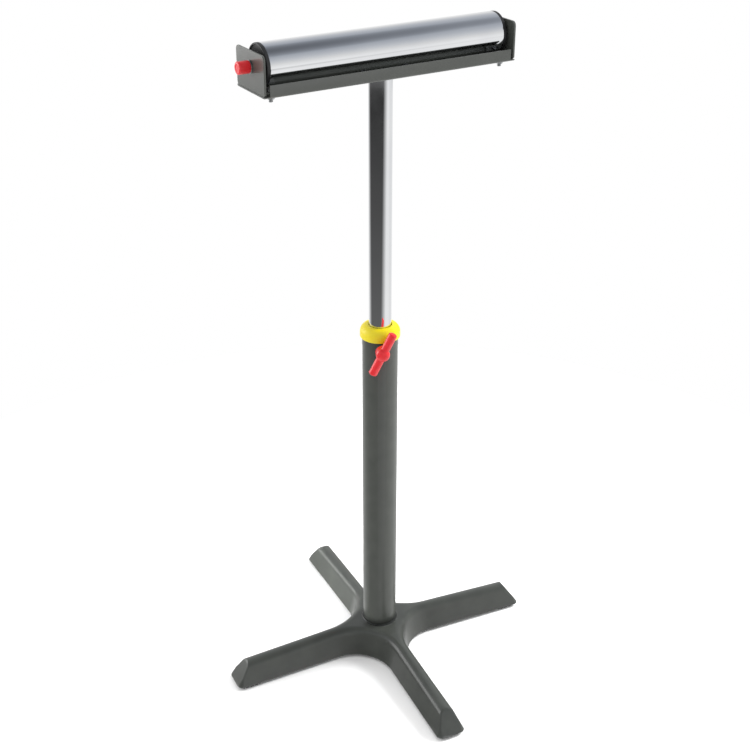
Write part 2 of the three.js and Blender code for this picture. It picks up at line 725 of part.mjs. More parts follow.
function makeSpacer(clearance) {
  return layAlongX(ring(axleBore + SPACER_WALL, axleBore, SEAT_GAP, clearance - SEAT_GAP, SMALL_SIDES));
}

// Washer and knob left of the head, washer and nut right of it, measured outwards from the brackets
const knobWasherEnd = SEAT_GAP + KNOB_WASHER_THICKNESS;
const knobStart = knobWasherEnd + SEAT_GAP;
const knobEnd = knobStart + KNOB_LENGTH;
const knobSocketEnd = knobEnd - KNOB_END_WALL;
const nutWasherEnd = SEAT_GAP + NUT_WASHER_THICKNESS;
const axleNutStart = nutWasherEnd + SEAT_GAP;
const axleNutEnd = axleNutStart + AXLE_NUT_HEIGHT;

function makeWasher(wall, end) {
  return layAlongX(ring(axleBore + wall, axleBore, SEAT_GAP, end, SMALL_SIDES));
}

function makeKnob() {
  const radius = axleBore + KNOB_WALL;
  const face = roundedEdge(radius, knobEnd, KNOB_ROUND);
  const body = turned([[0, knobStart], [radius, knobStart], ...face, [0, knobEnd]], SMALL_SIDES);
  return layAlongX(cut(body, rod(axleBore, knobStart - CUT_MARGIN, knobSocketEnd, SMALL_SIDES)));
}

function makeAxleNut() {
  return layAlongX(
    hexNut(hexCorner(axleBore + AXLE_NUT_WALL), axleBore, axleNutStart, axleNutEnd, SMALL_SIDES));
}

function makeAxle() {
  const left = -HEAD_SPAN / 2 - knobSocketEnd + SEAT_GAP;
  const right = HEAD_SPAN / 2 + axleNutEnd + AXLE_NUT_END;
  return layAlongX(rod(AXLE_RADIUS, left, right, SMALL_SIDES));
}

const leftEnd = makeRollerEnd('left');
leftEnd.position.x = rollerLeft;
const rightEnd = makeRollerEnd('right');
rightEnd.position.x = rollerRight;
rightEnd.rotation.z = Math.PI;

const leftSpacer = meshOf('left_spacer', makeSpacer(LEFT_CLEARANCE), ZINC);
leftSpacer.position.x = -plateInside;
const rightSpacer = meshOf('right_spacer', makeSpacer(RIGHT_CLEARANCE), ZINC);
rightSpacer.position.x = rollerRight;

const leftOutside = new THREE.Group();
leftOutside.position.x = -HEAD_SPAN / 2;
leftOutside.rotation.z = Math.PI;
leftOutside.add(
  meshOf('knob_washer', makeWasher(KNOB_WASHER_WALL, knobWasherEnd), ZINC),
  meshOf('axle_knob', makeKnob(), RED));

const rightOutside = new THREE.Group();
rightOutside.position.x = HEAD_SPAN / 2;
rightOutside.add(
  meshOf('nut_washer', makeWasher(NUT_WASHER_WALL, nutWasherEnd), ZINC),
  meshOf('axle_nut', makeAxleNut(), ZINC));

const axleGroup = new THREE.Group();
axleGroup.position.z = axleHeight;
axleGroup.add(
  meshOf('roller_tube', makeRollerTube(), CHROME),
  meshOf('axle', makeAxle(), ZINC),
  leftEnd,
  rightEnd,
  leftSpacer,
  rightSpacer,
  leftOutside,
  rightOutside);
headGroup.add(axleGroup);

const rollerStand = new THREE.Group();
rollerStand.add(baseGroup, postGroup, clampGroup, headGroup);

export default rollerStand;
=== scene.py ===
# Roller stand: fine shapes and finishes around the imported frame, in a plain studio. Metres, +Z up.
import json
import math

import bmesh
import bpy
from mathutils import Matrix, Vector


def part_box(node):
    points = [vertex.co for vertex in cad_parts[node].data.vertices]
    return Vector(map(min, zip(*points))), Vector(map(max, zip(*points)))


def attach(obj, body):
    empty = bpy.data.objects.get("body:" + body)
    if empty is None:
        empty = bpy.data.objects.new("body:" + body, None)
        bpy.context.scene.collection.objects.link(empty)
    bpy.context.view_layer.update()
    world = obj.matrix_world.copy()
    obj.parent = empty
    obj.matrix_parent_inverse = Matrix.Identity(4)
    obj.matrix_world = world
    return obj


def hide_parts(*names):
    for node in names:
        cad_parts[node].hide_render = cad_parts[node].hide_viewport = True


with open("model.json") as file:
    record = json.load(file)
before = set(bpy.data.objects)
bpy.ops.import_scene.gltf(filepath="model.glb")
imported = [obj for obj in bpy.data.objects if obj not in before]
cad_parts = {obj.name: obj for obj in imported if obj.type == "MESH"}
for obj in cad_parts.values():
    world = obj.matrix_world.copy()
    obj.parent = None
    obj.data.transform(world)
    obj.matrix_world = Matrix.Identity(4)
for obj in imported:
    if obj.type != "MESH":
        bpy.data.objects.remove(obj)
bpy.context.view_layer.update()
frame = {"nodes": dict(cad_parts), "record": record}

# Fineness of the meshes
ROUND_SIDES = 128
SMALL_SIDES = 72
BALL_SIDES = 24
EDGE_STEPS = 4
EDGE_SIDE_SHARE = 0.45
BEVEL_STEPS = 3
SHOULDER_STEPS = 12
THREAD_STEPS = 8
WELD_DISTANCE = 0.000002
SHARP_ANGLE = math.radians(32)
EDGE_ROUND = 0.0004
SHEET_EDGE = 0.0005

# Base: a pressing with four legs, as the model has it
BASE_TURN = math.radians(-5.5)
BASE_REACH = 0.290
BASE_WALL = 0.004
BASE_RIM_ROUND = 0.0008
CROWN_RADIUS = 0.060
LEG_TIP_FALL = 0.012
LEG_TIP_RUN = 0.026
LEG_TIP_ROUND = 0.005
LEG_TIP_CORNER = 0.010
LEG_TOP_CORNER = 0.003
LEG_CORNER_RISE = 0.5
LEG_TIP_HALF = 0.0265
LEG_ROOT_HALF = 0.0215
LEG_TOP_HALF = 0.011
LEG_EDGE_ROUND = 0.012
CORNER_OFFSET = 0.094
LEG_COUNT = 4
HOLLOW_START = math.radians(135)
HOLLOW_SWEEP = math.radians(45)
ARC_STEPS = 14
STRAIGHT_STEPS = 12
CORNER_STEPS = 6
ACROSS_STEPS = 8
CROWN_STEPS = 3
LEVEL_STEPS = 16
TOP_STEPS = 6
SOLE_CORNER = 0.009
PLUG_CORNER = 0.005
FOOT_EDGE = 0.0005
SOLE_GROOVES = 4
SOLE_GROOVE_WIDTH = 0.002
SOLE_GROOVE_DEPTH = 0.0015

# Post and clamp
OUTER_WALL = 0.0025
INNER_WALL = 0.002
WELD_RIPPLES = 46
WELD_RIPPLE = 0.045
WELD_SLANT = 2
WELD_STEPS = 10
WELD_SIDES = 256
COLLAR_ROUND = 0.013
COLLAR_MOUTH = 0.0008
COLLAR_FOOT_ROUND = 0.0015
SLIDE_GAP = 0.0003
BUSH_LIP = 0.003
THREAD_PITCH = 0.00175
THREAD_DEPTH = 0.0009
HUB_RADIUS = 0.0115
HUB_ROUND = 0.008
BAR_RADIUS = 0.0072
BAR_LENGTH = 0.080
BAR_ROUND = 0.003
BAR_TILT = math.radians(25.5)
HANDLE_VOXEL = 0.0006
HANDLE_SMOOTHING = 4

# Head
FLANGE_CORNER = 0.006
FLANGE_BOLTS = 4
TRAY_WALL = 0.0025
TRAY_INNER_BEND = 0.0015
NOTCH_LENGTH = 0.008
CUT_MARGIN = 0.002
BRACKET_WALL = 0.003
BRACKET_TOP_CORNER = 0.007
BRACKET_LOW_CORNER = 0.004
TAB_WIDTH = 0.020
TAB_INSET = 0.006
BOLT_RADIUS = 0.003
BOLT_PITCH = 0.001
BOLT_THREAD_DEPTH = 0.0005
HEX_FACE_SHARE = 0.95
HEX_CHAMFER = 0.0008
HEX_PHASE = math.radians(30)
HEX_ANGLE = math.radians(60)
BUTTON_ROUND = 0.0015
SOCKET_FLAT = 0.002
SOCKET_DEPTH = 0.0012

# Roller
ROLLER_WALL = 0.003
ROLLER_EDGE = 0.0008
CAP_RIM = 0.005
CAP_ROUND = 0.002
CAP_SHOULDER = 0.004
CAP_RECESS_DEPTH = 0.0012
CAP_RECESS_INSET = 0.003
BEARING_FIT = 0.0003
RACE_WALL = 0.00275
RACEWAY_DEPTH = 0.0008
RACEWAY_HALF = 0.0017
BALL_RADIUS = 0.0018
BALL_COUNT = 8
CAGE_WALL = 0.0012
CAGE_WIDTH = 0.003
AXLE_RADIUS = 0.006
KNOB_ROUND = 0.0015
KNOB_DISH_RADIUS = 0.0055
KNOB_DISH_DEPTH = 0.0005

# Finishes: linear colours of the two kinds of patches, and roughness from the smoothest to the dullest
PAINT_GREYS = ((0.057, 0.062, 0.055), (0.068, 0.073, 0.065))
# Painted shade: the base has the post's paint, drawn darker here for the lesser light that its legs catch
SHADED_BASE_GREYS = ((0.040, 0.043, 0.039), (0.049, 0.053, 0.047))
# A patch under 0.27 in roughness counts as a mirror to the denoiser, which leaves specks around it
PAINT_ROUGHNESS = (0.28, 0.34)
WORN_GREY = (0.09, 0.094, 0.09)
WORN_POINTINESS = (0.52, 0.62)
# Painted shade: a near-black band fading up from where the post meets the base, standing in for the shade
# in that seam
SEAM_SHADE_BLACK = (0.008, 0.009, 0.008)
SEAM_SHADE_REACH = 0.016
CHROME_GREYS = ((0.80, 0.81, 0.83), (0.86, 0.87, 0.88))
CHROME_ROUGHNESS = (0.035, 0.075)
ZINC_GREYS = ((0.46, 0.48, 0.50), (0.58, 0.59, 0.58))
ZINC_ROUGHNESS = (0.28, 0.42)
BEARING_GREYS = ((0.52, 0.53, 0.55), (0.62, 0.63, 0.64))
BEARING_ROUGHNESS = (0.14, 0.24)
BRASS_TINTS = ((0.47, 0.30, 0.08), (0.56, 0.37, 0.12))
BRASS_ROUGHNESS = (0.28, 0.38)
YELLOWS = ((0.68, 0.56, 0.004), (0.73, 0.60, 0.007))
YELLOW_ROUGHNESS = (0.34, 0.46)
YELLOW_GRAIN = 900
YELLOW_GLOW = {"Subsurface Weight": 0.1, "Subsurface Radius": (0.004, 0.003, 0.001)}
REDS = ((0.66, 0.012, 0.018), (0.74, 0.018, 0.026))
RED_ROUGHNESS = (0.28, 0.34)
RED_GRAIN = 700
RED_GLOSS = {"Coat Weight": 0.3, "Coat Roughness": 0.1}
BLACKS = ((0.014, 0.014, 0.015), (0.022, 0.022, 0.023))
BLACK_ROUGHNESS = (0.42, 0.55)
BLACK_GRAIN = 1200
RUBBER_BLACKS = ((0.010, 0.010, 0.010), (0.020, 0.019, 0.018))
RUBBER_ROUGHNESS = (0.75, 0.9)
RUBBER_GRAIN = 1500
FLOW_STRETCH = (1, 1, 0.4)
NOISE_MIDDLE = (0.3, 0.7)
WHITE = (1, 1, 1)

# Camera, fitted to the photograph
CAMERA_PLACE = (-0.9785, -1.6186, 1.5611)
CAMERA_YAW = math.radians(-30.9)
CAMERA_PITCH = math.radians(-27.8)
FOCAL_PIXELS = 1268.6
IMAGE_PIXELS = 750
SENSOR_WIDTH = 36

# Studio: floor and lamps
FLOOR_RADIUS = 1.25
FLOOR_GREYS = (0.916, 0.924)
LIGHT_TARGET = (0, 0, 0.4)
KEY_PLACE = (3.0, -0.3, 2.4)
KEY_SIZE = (1.8, 1.8)
KEY_POWER = 200
EDGE_PLACE = (-2.3, 2.6, 1.3)
EDGE_SIZE = (2.6, 2.2)
EDGE_POWER = 48
REAR_PLACE = (-0.75, 0.25, 0.12)
REAR_TARGET = (-0.02, 0.19, 0.03)
REAR_SIZE = (0.25, 0.1)
REAR_SPREAD = math.radians(25)
REAR_POWER = 0.4

# Surroundings: directions, the range over which the light fades towards each, and how light it is there
BACKDROP_LIGHT = 1.0
FRONT = (0, -1, 0)
FRONT_FADE = (-0.2, 0.9)
FRONT_FILL = 0.75
FILL_LIGHT = 1.25
DOWN = (0, 0, -1)
HORIZON_FADE = (0.2, 0.262)
LEVEL_FADE = (-0.5, -0.2)
GROUND_FADE = (0.25, 0.45)
GROUND_LIGHT = 0.88
DARK_SIDE = (-0.549, -0.168, 0.819)
DARK_SIDE_FADE = (-0.42, -0.02)
DARK_SIDE_LIGHT = 0.03
OVERHEAD = (-0.1, -0.17, 0.98)
SKY_FADE = (0, 0.75)
SKY_LIGHT = 0.92
SKY_TOP_LIGHT = 0.4
CEILING_FADE = (0.68, 0.88)
CEILING_LIGHT = 0.3
BLUE_FADE = (0.2, 0.8)
BLUE_TINT = (0.90, 0.97, 1.10)
DIM_STRIPE = (0.998, -0.07, 0)
STRIPE_FADE = (0.845, 0.88)
STRIPE_LIGHT = 0.92
LEFT = (-1, 0, 0)
LEFT_FADE = (0.2, 0.7)
LEFT_LIGHT = 0.2
REAR_RIGHT = (0.906, 0.423, 0)
REAR_RIGHT_FADE = (0.85, 0.95)
REAR_RIGHT_LIGHT = 0.25

# Placings: a shape about Z laid along X, and an outline in Y and Z drawn out along X
ALONG_X = Matrix.Rotation(math.pi / 2, 4, "Y")
YZ_ALONG_X = Matrix(((0, 0, 1, 0), (1, 0, 0, 0), (0, 1, 0, 0), (0, 0, 0, 1)))


# Shapes: lists of points and of faces


def sheet(rows, closed=False):
    """A surface over rows of points; closed rows join their last point to their first."""
    width = len(rows[0])
    points = [point for row in rows for point in row]
    faces = []
    for row in range(len(rows) - 1):
        for column in range(width if closed else width - 1):
            here = row * width + column
            beside = row * width + (column + 1) % width
            faces.append((here, beside, beside + width, here + width))
    return points, faces


def joined(*shapes):
    points = []
    faces = []
    for more_points, more_faces in shapes:
        start = len(points)
        points += more_points
        faces += [tuple(start + index for index in face) for face in more_faces]
    return points, faces


def moved(shape, matrix):
    points, faces = shape
    return [matrix @ point for point in points], faces


def softened(profile, closed=True):
    """Turns each corner of a profile of (u, v, round) into an arc that its two sides have room for."""
    corners = [Vector(corner[:2]) for corner in profile]
    path = []
    for index, corner in enumerate(corners):
        size = profile[index][2]
        if size == 0 or (not closed and index in (0, len(corners) - 1)):
            path.append(corner)
            continue
        before = corners[index - 1] - corner
        after = corners[(index + 1) % len(corners)] - corner
        half_angle = before.angle(after) / 2
        room = EDGE_SIDE_SHARE * min(before.length, after.length)
        reach = min(size / math.tan(half_angle), room)
        start = corner + before.normalized() * reach
        end = corner + after.normalized() * reach
        for step in range(EDGE_STEPS + 1):
            share = step / EDGE_STEPS
            pull = 2 * math.sin(half_angle) * share * (1 - share)
            weights = (1 - share) ** 2 + pull + share ** 2
            path.append((start * (1 - share) ** 2 + corner * pull + end * share ** 2) / weights)
    return path


def shoulder(radius, top, size):
    """Profile corners of a large quarter round, from a wall at a radius to a level top."""
    angles = [math.pi / 2 * step / SHOULDER_STEPS for step in range(SHOULDER_STEPS + 1)]
    return [(radius - size + size * math.cos(a), top - size + size * math.sin(a), 0) for a in angles]


def ring_row(radius, height, sides=SMALL_SIDES):
    """A ring of points about Z; the radius is a number or a function of the angle."""
    row = []
    for side in range(sides):
        angle = 2 * math.pi * side / sides
        here = radius(angle) if callable(radius) else radius
        row.append(Vector((here * math.cos(angle), here * math.sin(angle), height)))
    return row


def lathe(profile, sides=ROUND_SIDES):
    """Turns a profile of (radius, height, round) about Z; one off the axis closes into a ring."""
    closed = profile[0][0] > 0
    path = softened(profile, closed)
    if closed:
        path.append(path[0])
    return sheet([ring_row(point.x, point.y, sides) for point in path], closed=True)


def tube(outer, inner, low, high, edge=EDGE_ROUND, sides=ROUND_SIDES):
    return lathe([(inner, low, edge), (outer, low, edge), (outer, high, edge), (inner, high, edge)], sides)


def rod(radius, low, high, edge=0):
    return lathe([(0, low, 0), (radius, low, edge), (radius, high, edge), (0, high, 0)], SMALL_SIDES)


def thread_rows(radius, low, high, pitch, depth):
    """Rings of a screw thread about Z, which winds up by one pitch a turn."""
    count = math.ceil((high - low) / pitch * THREAD_STEPS)
    rows = []
    for step in range(count + 1):
        height = low + (high - low) * step / count
        lead = height / pitch

        def wound(angle):
            phase = (lead - angle / (2 * math.pi)) % 1
            return radius - depth * (1 - abs(2 * phase - 1))

        rows.append(ring_row(wound, height))
    return rows


def hex_rows(flat, low, high):
    """Rings of a hexagon about Z with its corners turned off at both ends."""
    corner = flat / math.cos(HEX_ANGLE / 2)
    face = flat * HEX_FACE_SHARE
    rise = [HEX_CHAMFER * step / EDGE_STEPS for step in range(EDGE_STEPS + 1)]
    heights = [low + step for step in rise] + [high - step for step in reversed(rise)]
    rows = []
    for height in heights:
        share = min(height - low, high - height) / HEX_CHAMFER
        cone = face + (corner - face) * min(max(share, 0), 1)

        def hexagon(angle):
            offset = (angle - HEX_PHASE) % HEX_ANGLE - HEX_ANGLE / 2
            return min(flat / math.cos(offset), cone)

        rows.append(ring_row(hexagon, height))
    return rows


def prism(outline, low, high, placing=Matrix.Identity(4)):
    """An outline of (u, v) points drawn out along w from low to high, then placed by a matrix."""
    count = len(outline)
    points = [placing @ Vector((u, v, w)) for w in (low, high) for u, v in outline]
    sides = [(i, (i + 1) % count, (i + 1) % count + count, i + count) for i in range(count)]
    return points, sides + [tuple(range(count)), tuple(range(count, 2 * count))]


def rectangle(low, high, low_round, high_round):
    """A rectangle's outline with rounded corners, between two opposite corners."""
    return softened([
        (low[0], low[1], low_round),
        (high[0], low[1], low_round),
        (high[0], high[1], high_round),
        (low[0], high[1], high_round),
    ])


def box(low, high):
    outline = [(low[0], low[1]), (high[0], low[1]), (high[0], high[1]), (low[0], high[1])]
    return prism(outline, low[2], high[2])


# From shapes to Blender meshes


def mesh_of(name, shape):
    """A mesh with its shared points welded, its faces outwards and smooth between sharp edges."""
    points, faces = shape
    mesh = bpy.data.meshes.new(name)
    mesh.from_pydata([tuple(point) for point in points], [], faces)
    work = bmesh.new()
    work.from_mesh(mesh)
    bmesh.ops.remove_doubles(work, verts=work.verts, dist=WELD_DISTANCE)
    bmesh.ops.recalc_face_normals(work, faces=work.faces)
    for face in work.faces:
        face.smooth = True
    for edge in work.edges:
        edge.smooth = edge.calc_face_angle(0) < SHARP_ANGLE
    work.to_mesh(mesh)
    work.free()
    return mesh


def loose_object(shape):
    thing = bpy.data.objects.new("loose", mesh_of("loose", shape))
    bpy.context.scene.collection.objects.link(thing)
    return thing


def settled(thing, *helpers):
    """The shape that an object's modifiers make of it; the object and its helpers are removed."""
    evaluated = thing.evaluated_get(bpy.context.evaluated_depsgraph_get())
    mesh = bpy.data.meshes.new_from_object(evaluated)
    shape = [v.co.copy() for v in mesh.vertices], [tuple(p.vertices) for p in mesh.polygons]
    bpy.data.meshes.remove(mesh)
    for used in (thing, *helpers):
        bpy.data.meshes.remove(used.data)
    return shape


def combined(shape, operation, tools):
    """The shape with the tools cut away (DIFFERENCE) or joined on (UNION)."""
    body = loose_object(shape)
    helpers = [loose_object(tool) for tool in tools]
    for helper in helpers:
        step = body.modifiers.new("step", "BOOLEAN")
        step.operation = operation
        step.solver = "EXACT"
        step.object = helper
    return settled(body, *helpers)


def melted(shape, voxel, smoothing):
    """Overlapping closed shapes run into one with soft inner corners, as in a moulding."""
    body = loose_object(shape)
    remesh = body.modifiers.new("remesh", "REMESH")
    remesh.mode = "VOXEL"
    remesh.voxel_size = voxel
    smooth = body.modifiers.new("smooth", "SMOOTH")
    smooth.iterations = smoothing
    return settled(body)


# Finishes: node materials in the object's own coordinates


def pattern(tree, scale, detail=2, stretch=(1, 1, 1)):
    """A noise from 0 to 1 over the object, with the scale in features a metre."""
    place = tree.nodes.new("ShaderNodeTexCoord")
    mapping = tree.nodes.new("ShaderNodeMapping")
    mapping.inputs["Scale"].default_value = stretch
    noise = tree.nodes.new("ShaderNodeTexNoise")
    noise.inputs["Scale"].default_value = scale
    noise.inputs["Detail"].default_value = detail
    tree.links.new(place.outputs["Object"], mapping.inputs["Vector"])
    tree.links.new(mapping.outputs["Vector"], noise.inputs["Vector"])
    return noise.outputs["Fac"]


def ramp(tree, source, start, end, low=0, high=1):
    """From low where the source is at its start to high where it is at its end."""
    node = tree.nodes.new("ShaderNodeMapRange")
    node.inputs["From Min"].default_value = start
    node.inputs["From Max"].default_value = end
    node.inputs["To Min"].default_value = low
    node.inputs["To Max"].default_value = high
    tree.links.new(source, node.inputs["Value"])
    return node.outputs["Result"]


def spread(tree, noise, low=0, high=1):
    """The middle of a noise's range, spread from low to high."""
    return ramp(tree, noise, *NOISE_MIDDLE, low, high)


def blended(tree, share, first, second):
    """A colour between two others; each is a linear RGB triple or a socket."""
    mix = tree.nodes.new("ShaderNodeMix")
    mix.data_type = "RGBA"
    tree.links.new(share, mix.inputs["Factor"])
    for name, colour in (("A", first), ("B", second)):
        socket = next(s for s in mix.inputs if s.name == name and s.type == "RGBA")
        if isinstance(colour, tuple):
            socket.default_value = (*colour, 1)
        else:
            tree.links.new(colour, socket)
    return next(s for s in mix.outputs if s.type == "RGBA")


def edge_share(tree):
    """From 0 on flat faces to 1 on outer edges, where a finish wears first."""
    geometry = tree.nodes.new("ShaderNodeNewGeometry")
    return ramp(tree, geometry.outputs["Pointiness"], *WORN_POINTINESS)


def height_share(tree, low, high):
    """From 0 at a height above the floor to 1 at another."""
    place = tree.nodes.new("ShaderNodeTexCoord")
    split = tree.nodes.new("ShaderNodeSeparateXYZ")
    tree.links.new(place.outputs["Object"], split.inputs["Vector"])
    return ramp(tree, split.outputs["Z"], low, high)


def dress(tree, shader, colour, roughness, skin, depth, strength):
    """Gives a shader a colour, a roughness and a skin that a noise raises by up to a depth in metres."""
    bump = tree.nodes.new("ShaderNodeBump")
    bump.inputs["Distance"].default_value = depth
    bump.inputs["Strength"].default_value = strength
    tree.links.new(skin, bump.inputs["Height"])
    tree.links.new(bump.outputs["Normal"], shader.inputs["Normal"])
    tree.links.new(colour, shader.inputs["Base Color"])
    tree.links.new(roughness, shader.inputs["Roughness"])


def new_finish(name, constants):
    """A material with some of its shader's sockets set, its node tree and that shader."""
    material = bpy.data.materials.new(name)
    material.use_nodes = True
    tree = material.node_tree
    shader = tree.nodes["Principled BSDF"]
    for socket, value in constants.items():
        shader.inputs[socket].default_value = value
    return material, tree, shader


def paint_finish(name, greys, seam=None):
    """Satin dark grey paint with a fine orange peel, thinner on edges, and with painted shade darkening it
    just above a welded seam.
    """
    material, tree, shader = new_finish(name, {"IOR": 1.5, "Coat Weight": 0.2, "Coat Roughness": 0.15})
    body = blended(tree, spread(tree, pattern(tree, scale=35, detail=4)), *greys)
    colour = blended(tree, edge_share(tree), body, WORN_GREY)
    if seam is not None:
        # Painted shade: near-black at the seam, fading into the paint a short way above it
        colour = blended(tree, height_share(tree, seam, seam + SEAM_SHADE_REACH), SEAM_SHADE_BLACK, colour)
    roughness = spread(tree, pattern(tree, scale=60, detail=5), *PAINT_ROUGHNESS)
    dress(tree, shader, colour, roughness, pattern(tree, scale=420), depth=0.0001, strength=0.06)
    return material


def chrome_finish():
    """Bright chrome over a finely polished tube."""
    material, tree, shader = new_finish("chrome", {"Metallic": 1.0, "IOR": 1.5})
    colour = blended(tree, spread(tree, pattern(tree, scale=12, detail=3)), *CHROME_GREYS)
    roughness = spread(tree, pattern(tree, scale=40, detail=6), *CHROME_ROUGHNESS)
    dress(tree, shader, colour, roughness, pattern(tree, scale=900), depth=0.00002, strength=0.03)
    return material


def steel_finish(name, tints, roughness_range):
    """Plated or ground metal with a fine grain."""
    material, tree, shader = new_finish(name, {"Metallic": 1.0})
    colour = blended(tree, spread(tree, pattern(tree, scale=160, detail=5)), *tints)
    roughness = spread(tree, pattern(tree, scale=300, detail=4), *roughness_range)
    dress(tree, shader, colour, roughness, pattern(tree, scale=2500), depth=0.00004, strength=0.15)
    return material


def plastic_finish(name, tints, roughness_range, grain, constants):
    """Moulded plastic or rubber: slight flow marks and a fine skin."""
    material, tree, shader = new_finish(name, constants)
    colour = blended(tree, spread(tree, pattern(tree, scale=45, detail=3, stretch=FLOW_STRETCH)), *tints)
    roughness = spread(tree, pattern(tree, scale=180, detail=4), *roughness_range)
    dress(tree, shader, colour, roughness, pattern(tree, scale=grain), depth=0.00006, strength=0.05)
    return material


finishes = {
    "paint": paint_finish("paint", PAINT_GREYS),
    "chrome": chrome_finish(),
    "zinc": steel_finish("zinc", ZINC_GREYS, ZINC_ROUGHNESS),
    "bearing_steel": steel_finish("bearing_steel", BEARING_GREYS, BEARING_ROUGHNESS),
    "brass": steel_finish("brass", BRASS_TINTS, BRASS_ROUGHNESS),
    "yellow_plastic": plastic_finish(
        "yellow_plastic", YELLOWS, YELLOW_ROUGHNESS, YELLOW_GRAIN, YELLOW_GLOW),
    "red_plastic": plastic_finish("red_plastic", REDS, RED_ROUGHNESS, RED_GRAIN, RED_GLOSS),
    "black_plastic": plastic_finish("black_plastic", BLACKS, BLACK_ROUGHNESS, BLACK_GRAIN, {}),
    "rubber": plastic_finish("rubber", RUBBER_BLACKS, RUBBER_ROUGHNESS, RUBBER_GRAIN, {}),
}
slot_of = {part["node"]: part["material_slot"] for part in frame["record"]["subparts"]}
body_of = {node: body for body, nodes in frame["record"]["behaviour"]["bodies"].items() for node in nodes}


def fine(node, shape, edge=0, finish=None):
    """Puts a fine shape in a node's place: its finish, its body and, where asked, rounded edges."""
    name = "fine_" + node
    thing = bpy.data.objects.new(name, mesh_of(name, shape))
    bpy.context.scene.collection.objects.link(thing)
    thing.data.materials.append(finish or finishes[slot_of[node]])
    if edge:
        bevel = thing.modifiers.new("edges", "BEVEL")
        bevel.width = edge
        bevel.segments = BEVEL_STEPS
        bevel.limit_method = "ANGLE"
        bevel.angle_limit = SHARP_ANGLE
        bevel.harden_normals = True
    # Normals follow the largest faces, which keeps reflections straight along the tubes
    normals = thing.modifiers.new("normals", "WEIGHTED_NORMAL")
    normals.keep_sharp = True
    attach(thing, body_of[node])
    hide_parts(node)


def upright(node):
    """Radius, foot and top of a node that is round about the post's axis."""
    low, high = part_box(node)
    return high.y, low.z, high.z


def lengthways(node):
    """Radius, left end and right end of a node that is round about the roller's axis."""
    low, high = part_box(node)
    return (high.y - low.y) / 2, low.x, high.x


# Base and feet

base_low, base_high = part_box("base")
base_top = base_high.z - base_low.z


def share_of_way(place, start, end):
    return min(max((place - start) / (end - start), 0), 1)


def drafted(foot, top, height, edge, level):
    """Half width of a drafted form with a rounded top edge, at a level above its foot."""
    draft = math.atan2(foot - top, height)
    if level <= height - edge * (1 - math.sin(draft)):
        return foot - (foot - top) * level / height
    centre = top - edge * math.tan((math.pi / 2 - draft) / 2)
    rise = level - height + edge
    return centre + math.sqrt(max(edge * edge - rise * rise, 0))


def leg_side(half, reach, rise):
    """Plan of a leg's one side on +X, from the hollow between two legs to the middle of the tip."""
    hollow = CORNER_OFFSET - half
    corner = min(max(LEG_TIP_CORNER * (1 - rise / LEG_CORNER_RISE), LEG_TOP_CORNER), half)
    side = []
    for step in range(ARC_STEPS):
        angle = HOLLOW_START - HOLLOW_SWEEP * step / ARC_STEPS
        side.append((CORNER_OFFSET + hollow * math.cos(angle), hollow * math.sin(angle) - CORNER_OFFSET))
    for step in range(STRAIGHT_STEPS):
        side.append((CORNER_OFFSET + (reach - corner - CORNER_OFFSET) * step / STRAIGHT_STEPS, -half))
    for step in range(CORNER_STEPS + 1):
        angle = math.pi / 2 * step / CORNER_STEPS
        side.append((reach - corner + corner * math.sin(angle), corner - half - corner * math.cos(angle)))
    return side + [(reach, 0)]


def on_base(leg, x, y, level, rise):
    """A point of a leg on +X, spread and lowered towards the tip and turned to its place."""
    spread_most = LEG_TIP_HALF / LEG_ROOT_HALF - 1
    wider = 1 + spread_most * share_of_way(x, CORNER_OFFSET, BASE_REACH) * (1 - rise)
    slope = share_of_way(math.hypot(x, y), CROWN_RADIUS, BASE_REACH - LEG_TIP_RUN)
    lower = 1 - LEG_TIP_FALL / base_top * slope
    point = Vector((x, y * wider, base_low.z + level * lower))
    return Matrix.Rotation(BASE_TURN + leg * math.pi / 2, 3, "Z") @ point


def cross_loop(half, reach, level, rise):
    """The outline of all four legs at one level, which is at a share of the way up the form."""
    side = leg_side(half, reach, rise)
    outline = side + [(x, -y) for x, y in reversed(side[1:-1])]
    return [on_base(leg, x, y, level, rise) for leg in range(LEG_COUNT) for x, y in outline]


def cross_top(half, reach, level, hole):
    """The face inside the highest outline: strips along the legs and a middle with a round hole."""
    strips = []
    rim = []
    for leg in range(LEG_COUNT):
        rows = []
        for x, y in leg_side(half, reach, 1):
            across = [y - 2 * y * step / ACROSS_STEPS for step in range(ACROSS_STEPS + 1)]
            rows.append([on_base(leg, x, place, level, 1) for place in across])
        strips.append(sheet(rows))
        rim += rows[0][:-1]
    ring = [Vector((*(point.xy.normalized() * hole), base_low.z + level)) for point in rim]
    rows = []
    for step in range(CROWN_STEPS + 1):
        share = step / CROWN_STEPS
        rows.append([outer.lerp(inner, share) for outer, inner in zip(rim, ring)])
    return joined(sheet(rows, closed=True), *strips), ring


def cross_wall(foot, top, reach, height, edge, tip_edge):
    """Outlines up the outside of a four-legged form, from its rim to its top edge."""
    join = height - edge
    levels = [join * step / LEVEL_STEPS for step in range(LEVEL_STEPS)]
    levels += [join + edge * math.sin(math.pi / 2 * step / TOP_STEPS) for step in range(TOP_STEPS + 1)]
    loops = []
    for level in levels:
        half = drafted(foot, top, height, edge, level)
        out = drafted(reach, reach - LEG_TIP_RUN, height, tip_edge, level)
        loops.append(cross_loop(half, out, level, level / height))
    return loops, half, out


